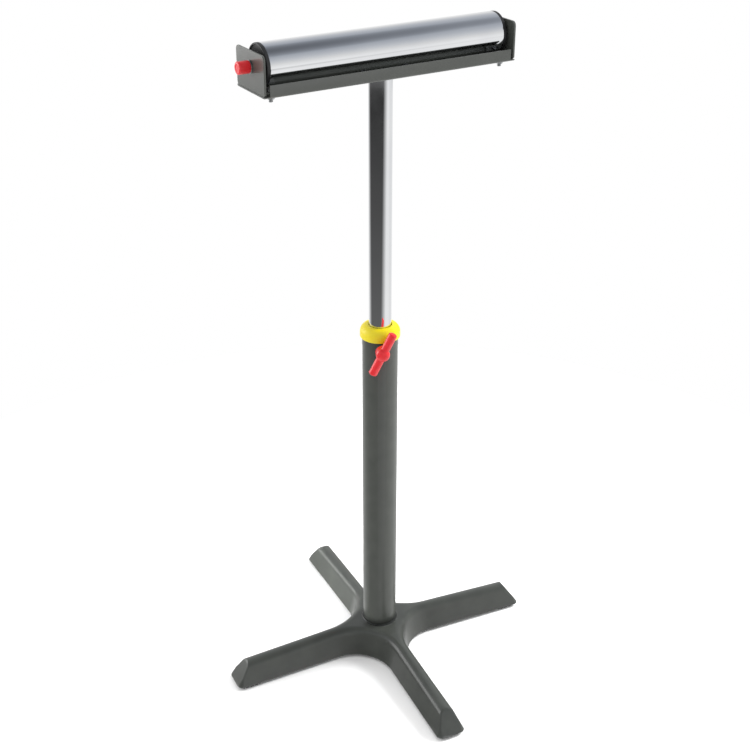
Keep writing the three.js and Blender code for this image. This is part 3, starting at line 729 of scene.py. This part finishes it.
def base_shape():
    """The pressing: its outside, its hollow, and a hole in the crown for the tube."""
    hollow_height = base_top - BASE_WALL
    hollow_top = LEG_TOP_HALF - BASE_WALL
    outside, top_half, top_reach = cross_wall(
        LEG_ROOT_HALF, LEG_TOP_HALF, BASE_REACH, base_top, LEG_EDGE_ROUND, LEG_TIP_ROUND)
    inside, hollow_half, hollow_reach = cross_wall(
        LEG_ROOT_HALF - BASE_WALL, hollow_top, BASE_REACH - BASE_WALL, hollow_height,
        LEG_EDGE_ROUND / 2, LEG_TIP_ROUND / 2)
    hole = upright("outer_tube")[0]
    crown, upper_ring = cross_top(top_half, top_reach, base_top, hole)
    ceiling, lower_ring = cross_top(hollow_half, hollow_reach, hollow_height, hole)
    walls = sheet(list(reversed(outside)) + inside, closed=True)
    return joined(walls, crown, ceiling, sheet([upper_ring, lower_ring], closed=True))


def foot_block(corners, length, corner_round, low, high):
    """An upright block that ends where the given corners do and is as wide as they are."""
    end = max(corner.x for corner in corners)
    half = max(corner.y for corner in corners)
    return prism(rectangle((end - length, -half), (end, half), corner_round, corner_round), low, high)


def foot_shape(leg):
    """A rubber foot: a sole with grooves across it, and a plug in the hollow of a leg's tip."""
    low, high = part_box("foot_right")
    unturned = Matrix.Rotation(-BASE_TURN, 3, "Z")
    corners = [unturned @ vertex.co for vertex in frame["nodes"]["foot_right"].data.vertices]
    top_corners = [corner for corner in corners if high.z - corner.z < WELD_DISTANCE]
    length = max(corner.x for corner in top_corners) - min(corner.x for corner in top_corners)
    sole = foot_block(corners, length, SOLE_CORNER, low.z, base_low.z - SLIDE_GAP)
    plug = foot_block(top_corners, length, PLUG_CORNER, low.z + SOLE_GROOVE_DEPTH, high.z)
    end = max(corner.x for corner in corners)
    half = max(corner.y for corner in corners)
    grooves = []
    for step in range(SOLE_GROOVES):
        middle = end - length * (step + 1) / (SOLE_GROOVES + 1)
        near = middle - SOLE_GROOVE_WIDTH / 2
        far = middle + SOLE_GROOVE_WIDTH / 2
        grooves.append(box((near, -half - CUT_MARGIN, low.z - CUT_MARGIN),
                           (far, half + CUT_MARGIN, low.z + SOLE_GROOVE_DEPTH)))
    turn = Matrix.Rotation(BASE_TURN + leg * math.pi / 2, 4, "Z")
    return moved(combined(combined(sole, "UNION", [plug]), "DIFFERENCE", grooves), turn)


# The base in a darker copy of the post's paint: painted shade, not a different paint
fine("base", base_shape(), BASE_RIM_ROUND, paint_finish("shaded_base_paint", SHADED_BASE_GREYS))
for leg, side in enumerate(("right", "rear", "left", "front")):
    fine("foot_" + side, foot_shape(leg), FOOT_EDGE)

# Where the clamp is; its parts are built along +X from the post's axis

clamp_joint = next(j for j in frame["record"]["behaviour"]["joints"] if j["name"] == "clamp_turn")
clamp_axis = Vector(clamp_joint["axis"])
clamp_middle = Vector(clamp_joint["pos_m"])
clamp_heading = math.atan2(clamp_axis.y, clamp_axis.x)
to_clamp = Matrix.Translation(clamp_middle) @ Matrix.Rotation(clamp_heading, 4, "Z")


def clamp_span(node):
    """Radius about the clamp's axis, inner end and outer end of a node."""
    places = [vertex.co - clamp_middle for vertex in frame["nodes"][node].data.vertices]
    along = [place.dot(clamp_axis) for place in places]
    return max(place.z for place in places), min(along), max(along)


screw_radius, screw_start, screw_end = clamp_span("clamp_screw")
boss_radius, boss_start, boss_end = clamp_span("clamp_boss")
pad_radius, pad_start, pad_end = clamp_span("clamp_pad")
hub_start, hub_end = clamp_span("clamp_handle")[1:]
screw_hole = screw_radius + SLIDE_GAP


def drilled(shape):
    """A shape with the hole in which the clamp's screw and pad move."""
    return combined(shape, "DIFFERENCE", [moved(rod(screw_hole, 0, boss_end), to_clamp @ ALONG_X)])


# Post

outer_radius, outer_foot, outer_top = upright("outer_tube")
inner_radius, inner_foot, inner_top = upright("inner_tube")
outer_bore = outer_radius - OUTER_WALL
# The post's paint, with painted shade darkening it just above its seam with the base
seam_shaded_paint = paint_finish("seam_shaded_paint", PAINT_GREYS, seam=base_high.z)
fine("outer_tube", drilled(tube(outer_radius, outer_bore, outer_foot, outer_top)), finish=seam_shaded_paint)
fine("inner_tube", tube(inner_radius, inner_radius - INNER_WALL, inner_foot, inner_top))


def bead_shape():
    """A fillet weld with the ripples that the torch leaves."""
    reach, low, high = upright("tube_weld_bead")
    size = high - low
    inner = reach - size
    root = ring_row(inner, low, WELD_SIDES)
    rows = [root]
    for step in range(WELD_STEPS + 1):
        sweep = math.pi / 2 * step / WELD_STEPS

        def crest(angle):
            wave = math.sin(WELD_RIPPLES * angle + WELD_SLANT * math.sin(2 * sweep))
            return inner + size * math.cos(sweep) * (1 - WELD_RIPPLE * (1 + wave))

        rows.append(ring_row(crest, low + size * math.sin(sweep), WELD_SIDES))
    return sheet(rows + [root], closed=True)


def collar_shape():
    """A round-shouldered ring on the outer tube's end, with a sleeve that goes down into the tube."""
    rim, foot, top = upright("guide_collar")
    bore = inner_radius + SLIDE_GAP
    sleeve = outer_bore - SLIDE_GAP
    seat = outer_top + SLIDE_GAP
    return lathe([
        (bore, foot, EDGE_ROUND),
        (sleeve, foot, EDGE_ROUND),
        (sleeve, seat, 0),
        (rim, seat, COLLAR_FOOT_ROUND),
        *shoulder(rim, top, COLLAR_ROUND),
        (bore + COLLAR_MOUTH, top, EDGE_ROUND),
        (bore, top - COLLAR_MOUTH, EDGE_ROUND),
    ])


def bush_shape():
    """A bush round the inner tube's foot, with a lip under the tube's end."""
    outer, foot, top = upright("guide_bush")
    seat = foot + BUSH_LIP
    bore = inner_radius + SLIDE_GAP
    lip = inner_radius - 2 * INNER_WALL
    return lathe([
        (lip, foot, EDGE_ROUND),
        (outer, foot, 2 * EDGE_ROUND),
        (outer, top, 2 * EDGE_ROUND),
        (bore, top, EDGE_ROUND),
        (bore, seat, 0),
        (lip, seat, 0),
    ])


fine("tube_weld_bead", bead_shape(), finish=seam_shaded_paint)
fine("guide_collar", drilled(collar_shape()))
fine("guide_bush", bush_shape())

# Clamp


def screw_shape():
    rows = thread_rows(screw_radius, screw_start, screw_end, THREAD_PITCH, THREAD_DEPTH)
    return sheet([ring_row(0, screw_start), *rows, ring_row(0, screw_end)], closed=True)


def handle_shape():
    """A T moulded in one: a hub on the screw and a bar across it."""
    hub = lathe([
        (0, hub_start, 0),
        (HUB_RADIUS, hub_start, EDGE_ROUND),
        *shoulder(HUB_RADIUS, hub_end, HUB_ROUND),
        (0, hub_end, 0),
    ], SMALL_SIDES)
    bar = rod(BAR_RADIUS, -BAR_LENGTH / 2, BAR_LENGTH / 2, BAR_ROUND)
    to_bar = Matrix.Translation(((hub_start + hub_end) / 2, 0, 0)) @ Matrix.Rotation(-BAR_TILT, 4, "X")
    return melted(joined(moved(hub, ALONG_X), moved(bar, to_bar)), HANDLE_VOXEL, HANDLE_SMOOTHING)


boss = tube(boss_radius, screw_hole, boss_start, boss_end, 2 * EDGE_ROUND, SMALL_SIDES)
pad = rod(pad_radius, pad_start, pad_end, 2 * EDGE_ROUND)
fine("clamp_boss", moved(boss, to_clamp @ ALONG_X))
fine("clamp_pad", moved(pad, to_clamp @ ALONG_X))
fine("clamp_screw", moved(screw_shape(), to_clamp @ ALONG_X))
fine("clamp_handle", moved(handle_shape(), to_clamp))

# Tray and brackets

tray_low, tray_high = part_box("tray")


def flange_shape():
    low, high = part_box("head_flange")
    return prism(rectangle(low.xy, high.xy, FLANGE_CORNER, FLANGE_CORNER), low.z, high.z)


def tray_shape():
    """The folded sheet, its lips cut back at both ends."""
    half = tray_high.y
    inside = half - TRAY_WALL
    floor = tray_low.z + TRAY_WALL
    outline = softened([
        (-half, tray_high.z, 0),
        (-half, tray_low.z, TRAY_WALL + TRAY_INNER_BEND),
        (half, tray_low.z, TRAY_WALL + TRAY_INNER_BEND),
        (half, tray_high.z, 0),
        (inside, tray_high.z, 0),
        (inside, floor, TRAY_INNER_BEND),
        (-inside, floor, TRAY_INNER_BEND),
        (-inside, tray_high.z, 0),
    ])
    channel = prism(outline, tray_low.x, tray_high.x, YZ_ALONG_X)
    reach = half + CUT_MARGIN
    notches = []
    for side in (-1, 1):
        ends = sorted((side * (tray_high.x - NOTCH_LENGTH), side * (tray_high.x + CUT_MARGIN)))
        notches.append(box((ends[0], -reach, floor), (ends[1], reach, tray_high.z + CUT_MARGIN)))
    return combined(channel, "DIFFERENCE", notches)


def bracket_shape(node, side):
    """An upright plate with two tabs that reach in along the tray's floor."""
    low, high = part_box(node)
    plate_ends = sorted((side * tray_high.x, side * (tray_high.x - BRACKET_WALL)))
    outline = rectangle((low.y, low.z), (high.y, high.z), BRACKET_LOW_CORNER, BRACKET_TOP_CORNER)
    plate = prism(outline, *plate_ends, YZ_ALONG_X)
    tabs = []
    for way in (-1, 1):
        near, far = sorted((way * (high.y - TAB_INSET), way * (high.y - TAB_INSET - TAB_WIDTH)))
        start, end = (low.x, high.x - BRACKET_WALL / 2) if side > 0 else (low.x + BRACKET_WALL / 2, high.x)
        tabs.append(box((start, near, low.z), (end, far, low.z + BRACKET_WALL)))
    return combined(plate, "UNION", tabs)


fine("head_flange", flange_shape(), SHEET_EDGE)
fine("tray", tray_shape(), SHEET_EDGE)
fine("left_bracket", bracket_shape("left_bracket", -1), SHEET_EDGE)
fine("right_bracket", bracket_shape("right_bracket", 1), SHEET_EDGE)

# Bolts and nuts


def bolt_rows(low, seat):
    rows = thread_rows(BOLT_RADIUS, low, seat, BOLT_PITCH, BOLT_THREAD_DEPTH)
    return [ring_row(0, low), *rows, ring_row(BOLT_RADIUS, seat)]


def middle_of(node):
    low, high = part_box(node)
    return Matrix.Translation(((low.x + high.x) / 2, (low.y + high.y) / 2, 0))


def hex_flat(node):
    """Distance of a hexagon's flats from its middle, for a node with corners on Y."""
    low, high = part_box(node)
    return (high.y - low.y) / 2 * math.cos(HEX_ANGLE / 2)


def button_bolt_shape(node):
    """A low round head with a hexagon socket, on a threaded shank."""
    low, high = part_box(node)
    head = (high.y - low.y) / 2
    seat = tray_low.z + TRAY_WALL + SLIDE_GAP
    dome = softened([(head, seat, 0), (head, high.z, BUTTON_ROUND), (SOCKET_FLAT, high.z, 0)], closed=False)
    socket = hex_rows(SOCKET_FLAT, high.z - SOCKET_DEPTH, high.z)
    rows = bolt_rows(low.z, seat) + [ring_row(point.x, point.y) for point in dome[:-1]]
    rows += [socket[len(socket) // 2], ring_row(0, high.z - SOCKET_DEPTH)]
    return moved(sheet(rows, closed=True), middle_of(node))


def hex_bolt_shape(node, seat):
    low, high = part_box(node)
    rows = bolt_rows(low.z, seat) + hex_rows(hex_flat(node), seat, high.z) + [ring_row(0, high.z)]
    return moved(sheet(rows, closed=True), middle_of(node))


def hex_nut_shape(flat, bore, low, high):
    wall = [ring_row(bore, low)] + hex_rows(flat, low, high) + [ring_row(bore, high), ring_row(bore, low)]
    return sheet(wall, closed=True)


for number in range(1, FLANGE_BOLTS + 1):
    bolt = f"flange_bolt_{number}"
    fine(bolt, button_bolt_shape(bolt))
bracket_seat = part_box("left_bracket")[0].z + BRACKET_WALL + SLIDE_GAP
for side in ("left", "right"):
    for place in ("front", "rear"):
        bolt = f"bracket_bolt_{side}_{place}"
        nut = f"bracket_nut_{side}_{place}"
        nut_low, nut_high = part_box(nut)
        nut_form = hex_nut_shape(hex_flat(nut), BOLT_RADIUS + SLIDE_GAP, nut_low.z, nut_high.z)
        fine(bolt, hex_bolt_shape(bolt, bracket_seat))
        fine(nut, moved(nut_form, middle_of(nut)))

# Roller, axle and what is on them, built along X on the roller's axis

roller_radius, roller_left, roller_right = lengthways("roller_tube")
roller_bore = roller_radius - ROLLER_WALL
axle_left, axle_right = lengthways("axle")[1:]
roller_low, roller_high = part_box("roller_tube")
to_axle = Matrix.Translation((0, 0, (roller_low.z + roller_high.z) / 2)) @ ALONG_X


def cap_shape(node, bearing):
    """An end cap, from its outer face inwards: a recessed face, a rim, a plug and a bearing's seat."""
    left, right = lengthways(node)[1:]
    race, race_left, race_right = lengthways(bearing)
    inwards = 1 if left < 0 else -1
    face, plug_end = (left, right) if inwards > 0 else (right, left)
    seat = race + BEARING_FIT
    seat_end = (race_right if inwards > 0 else race_left) + inwards * BEARING_FIT
    stop = race - CAP_SHOULDER
    plug = roller_bore - BEARING_FIT
    recess = face + inwards * CAP_RECESS_DEPTH
    rim_end = face + inwards * CAP_RIM
    return lathe([
        (stop, seat_end, EDGE_ROUND),
        (seat, seat_end, 0),
        (seat, face, EDGE_ROUND),
        (seat + CAP_RECESS_INSET, face, EDGE_ROUND),
        (seat + CAP_RECESS_INSET, recess, EDGE_ROUND),
        (roller_radius - CAP_RECESS_INSET, recess, EDGE_ROUND),
        (roller_radius - CAP_RECESS_INSET, face, EDGE_ROUND),
        (roller_radius, face, CAP_ROUND),
        (roller_radius, rim_end, 0),
        (plug, rim_end, 0),
        (plug, plug_end, 2 * EDGE_ROUND),
        (stop, plug_end, EDGE_ROUND),
    ])


def race_shape(node, groove_side):
    """A bearing ring with a round track for the balls, in its outer side for 1 or its inner side for -1."""
    outer, left, right = lengthways(node)
    inner = outer - RACE_WALL
    middle = (left + right) / 2
    wall = inner if groove_side < 0 else outer
    floor = wall - groove_side * RACEWAY_DEPTH
    track = [
        (wall, middle - RACEWAY_HALF, 0),
        (floor, middle, RACEWAY_HALF / 2),
        (wall, middle + RACEWAY_HALF, 0),
    ]
    corners = [(inner, left, EDGE_ROUND), (outer, left, EDGE_ROUND)]
    far_corners = [(outer, right, EDGE_ROUND), (inner, right, EDGE_ROUND)]
    if groove_side > 0:
        return lathe(corners + track + far_corners, SMALL_SIDES)
    return lathe(corners + far_corners + track[::-1], SMALL_SIDES)


def ball_cage_shape(node):
    """Balls carried in a cage ring."""
    reach, left, right = lengthways(node)
    middle = (left + right) / 2
    circle = reach - BALL_RADIUS
    cage = tube(circle + CAGE_WALL / 2, circle - CAGE_WALL / 2,
                middle - CAGE_WIDTH / 2, middle + CAGE_WIDTH / 2, EDGE_ROUND / 2, SMALL_SIDES)
    balls = []
    for number in range(BALL_COUNT):
        angle = 2 * math.pi * number / BALL_COUNT
        rows = []
        for step in range(BALL_SIDES // 2 + 1):
            rise = math.pi * step / (BALL_SIDES // 2)
            rows.append(ring_row(BALL_RADIUS * math.sin(rise), -BALL_RADIUS * math.cos(rise), BALL_SIDES))
        centre = (circle * math.cos(angle), circle * math.sin(angle), middle)
        balls.append(moved(sheet(rows, closed=True), Matrix.Translation(centre)))
    return combined(cage, "UNION", balls)


def washer_shape(node):
    outer, left, right = lengthways(node)
    return tube(outer, AXLE_RADIUS + SLIDE_GAP, left, right, EDGE_ROUND, SMALL_SIDES)


def knob_shape():
    """A plain round knob with a shallow dish in its end."""
    radius, left, right = lengthways("axle_knob")
    bore = AXLE_RADIUS + SLIDE_GAP
    return lathe([
        (0, axle_left - SLIDE_GAP, 0),
        (bore, axle_left - SLIDE_GAP, 0),
        (bore, right, EDGE_ROUND),
        (radius, right, 2 * EDGE_ROUND),
        (radius, left, KNOB_ROUND),
        (KNOB_DISH_RADIUS, left, EDGE_ROUND),
        (KNOB_DISH_RADIUS - KNOB_DISH_DEPTH, left + KNOB_DISH_DEPTH, EDGE_ROUND),
        (0, left + KNOB_DISH_DEPTH, 0),
    ])


def axle_shape():
    """A rod with a thread at each end for the knob and the nut."""
    rows = [ring_row(0, axle_left)]
    rows += thread_rows(AXLE_RADIUS, axle_left, tray_low.x, THREAD_PITCH, THREAD_DEPTH)
    rows += [ring_row(AXLE_RADIUS, tray_low.x), ring_row(AXLE_RADIUS, tray_high.x)]
    rows += thread_rows(AXLE_RADIUS, tray_high.x, axle_right, THREAD_PITCH, THREAD_DEPTH)
    rows += [ring_row(0, axle_right)]
    return sheet(rows, closed=True)


def on_axle(node, shape):
    fine(node, moved(shape, to_axle))


on_axle("roller_tube", tube(roller_radius, roller_bore, roller_left, roller_right, ROLLER_EDGE))
on_axle("axle", axle_shape())
for side in ("left", "right"):
    cap = f"{side}_end_cap"
    outer_race = f"{side}_bearing_outer_race"
    inner_race = f"{side}_bearing_inner_race"
    cage = f"{side}_bearing_ball_cage"
    spacer = f"{side}_spacer"
    on_axle(cap, cap_shape(cap, outer_race))
    on_axle(outer_race, race_shape(outer_race, -1))
    on_axle(inner_race, race_shape(inner_race, 1))
    on_axle(cage, ball_cage_shape(cage))
    on_axle(spacer, washer_shape(spacer))
for washer in ("knob_washer", "nut_washer"):
    on_axle(washer, washer_shape(washer))
on_axle("axle_knob", knob_shape())
nut_left, nut_right = lengthways("axle_nut")[1:]
on_axle("axle_nut", hex_nut_shape(hex_flat("axle_nut"), AXLE_RADIUS + SLIDE_GAP, nut_left, nut_right))

# Studio: floor, surroundings, lamps and camera


def floor_object():
    rim = ring_row(FLOOR_RADIUS, 0, ROUND_SIDES)
    floor = bpy.data.objects.new("floor", mesh_of("floor", (rim, [tuple(range(ROUND_SIDES))])))
    bpy.context.scene.collection.objects.link(floor)
    material, tree, shader = new_finish("floor", {"Roughness": 0.9, "Specular IOR Level": 0.1})
    shade = spread(tree, pattern(tree, scale=3), *FLOOR_GREYS)
    tree.links.new(shade, shader.inputs["Base Color"])
    floor.data.materials.append(material)
    floor.visible_glossy = False
    return floor


floor_object()


def set_surroundings():
    """White to the eye; in reflections dark on the left and overhead, as a room with one window wall."""
    world = bpy.data.worlds.new("studio")
    world.use_nodes = True
    bpy.context.scene.world = world
    tree = world.node_tree
    background = tree.nodes["Background"]
    place = tree.nodes.new("ShaderNodeTexCoord")

    def faded(direction, fade, low, high):
        """A light level that goes from low to high as the view turns towards a direction."""
        dot = tree.nodes.new("ShaderNodeVectorMath")
        dot.operation = "DOT_PRODUCT"
        dot.inputs[1].default_value = direction
        tree.links.new(place.outputs["Generated"], dot.inputs[0])
        return ramp(tree, dot.outputs["Value"], *fade, low, high)

    def chosen(ray, when_true, otherwise):
        """One light level for a kind of ray and another for the rest."""
        mix = tree.nodes.new("ShaderNodeMix")
        path = tree.nodes.new("ShaderNodeLightPath")
        tree.links.new(path.outputs[ray], mix.inputs["Factor"])
        for socket, value in ((mix.inputs["A"], otherwise), (mix.inputs["B"], when_true)):
            if isinstance(value, float):
                socket.default_value = value
            else:
                tree.links.new(value, socket)
        return mix.outputs["Result"]

    def product(first, second):
        multiply = tree.nodes.new("ShaderNodeMath")
        multiply.operation = "MULTIPLY"
        tree.links.new(first, multiply.inputs[0])
        tree.links.new(second, multiply.inputs[1])
        return multiply.outputs["Value"]

    def limited(level, share):
        """A light level where the share is 1, and full light where it is 0."""
        mix = tree.nodes.new("ShaderNodeMix")
        mix.inputs["A"].default_value = 1
        tree.links.new(share, mix.inputs["Factor"])
        tree.links.new(level, mix.inputs["B"])
        return mix.outputs["Result"]

    below = product(faded(DOWN, HORIZON_FADE, 0, 1), faded(DOWN, GROUND_FADE, 1, GROUND_LIGHT))
    dark_side = limited(faded(DARK_SIDE, DARK_SIDE_FADE, 1, DARK_SIDE_LIGHT), below)
    ceiling = faded(OVERHEAD, CEILING_FADE, 1, CEILING_LIGHT)
    sky = product(faded(OVERHEAD, SKY_FADE, SKY_LIGHT, SKY_TOP_LIGHT), ceiling)
    dim_stripe = faded(DIM_STRIPE, STRIPE_FADE, 1, STRIPE_LIGHT)
    level = product(faded(DOWN, LEVEL_FADE, 0, 1), faded(DOWN, HORIZON_FADE, 1, 0))
    rear_patch = faded(REAR_RIGHT, REAR_RIGHT_FADE, 1, REAR_RIGHT_LIGHT)
    dark_patches = product(faded(LEFT, LEFT_FADE, 1, LEFT_LIGHT), rear_patch)
    room = product(product(product(dark_side, sky), dim_stripe), limited(dark_patches, level))
    fill = faded(FRONT, FRONT_FADE, FILL_LIGHT, FRONT_FILL)
    seen = chosen("Is Camera Ray", BACKDROP_LIGHT, chosen("Is Diffuse Ray", fill, room))
    mirrored = tree.nodes.new("ShaderNodeLightPath").outputs["Is Glossy Ray"]
    bluish = product(faded(OVERHEAD, BLUE_FADE, 0, 1), mirrored)
    tint = blended(tree, bluish, WHITE, BLUE_TINT)
    tree.links.new(seen, background.inputs["Strength"])
    tree.links.new(tint, background.inputs["Color"])


set_surroundings()


def area_light(name, place, target, size, power):
    light = bpy.data.objects.new(name, bpy.data.lights.new(name, "AREA"))
    light.data.shape = "RECTANGLE"
    light.data.size, light.data.size_y = size
    light.data.energy = power
    light.location = place
    light.rotation_euler = (Vector(target) - Vector(place)).to_track_quat("-Z", "Y").to_euler()
    bpy.context.scene.collection.objects.link(light)
    return light


area_light("edge", EDGE_PLACE, LIGHT_TARGET, EDGE_SIZE, EDGE_POWER)
key = area_light("key", KEY_PLACE, LIGHT_TARGET, KEY_SIZE, KEY_POWER)
rear = area_light("rear", REAR_PLACE, REAR_TARGET, REAR_SIZE, REAR_POWER)
rear.data.spread = REAR_SPREAD
for unmirrored in (key, rear):
    unmirrored.visible_glossy = False
    unmirrored.visible_camera = False

camera = bpy.data.objects.new("camera", bpy.data.cameras.new("camera"))
camera.location = CAMERA_PLACE
camera.rotation_euler = (math.pi / 2 + CAMERA_PITCH, 0, CAMERA_YAW)
camera.data.sensor_width = SENSOR_WIDTH
camera.data.lens = FOCAL_PIXELS / IMAGE_PIXELS * SENSOR_WIDTH
bpy.context.scene.collection.objects.link(camera)
bpy.context.scene.camera = camera
bpy.context.scene.view_settings.view_transform = "Standard"
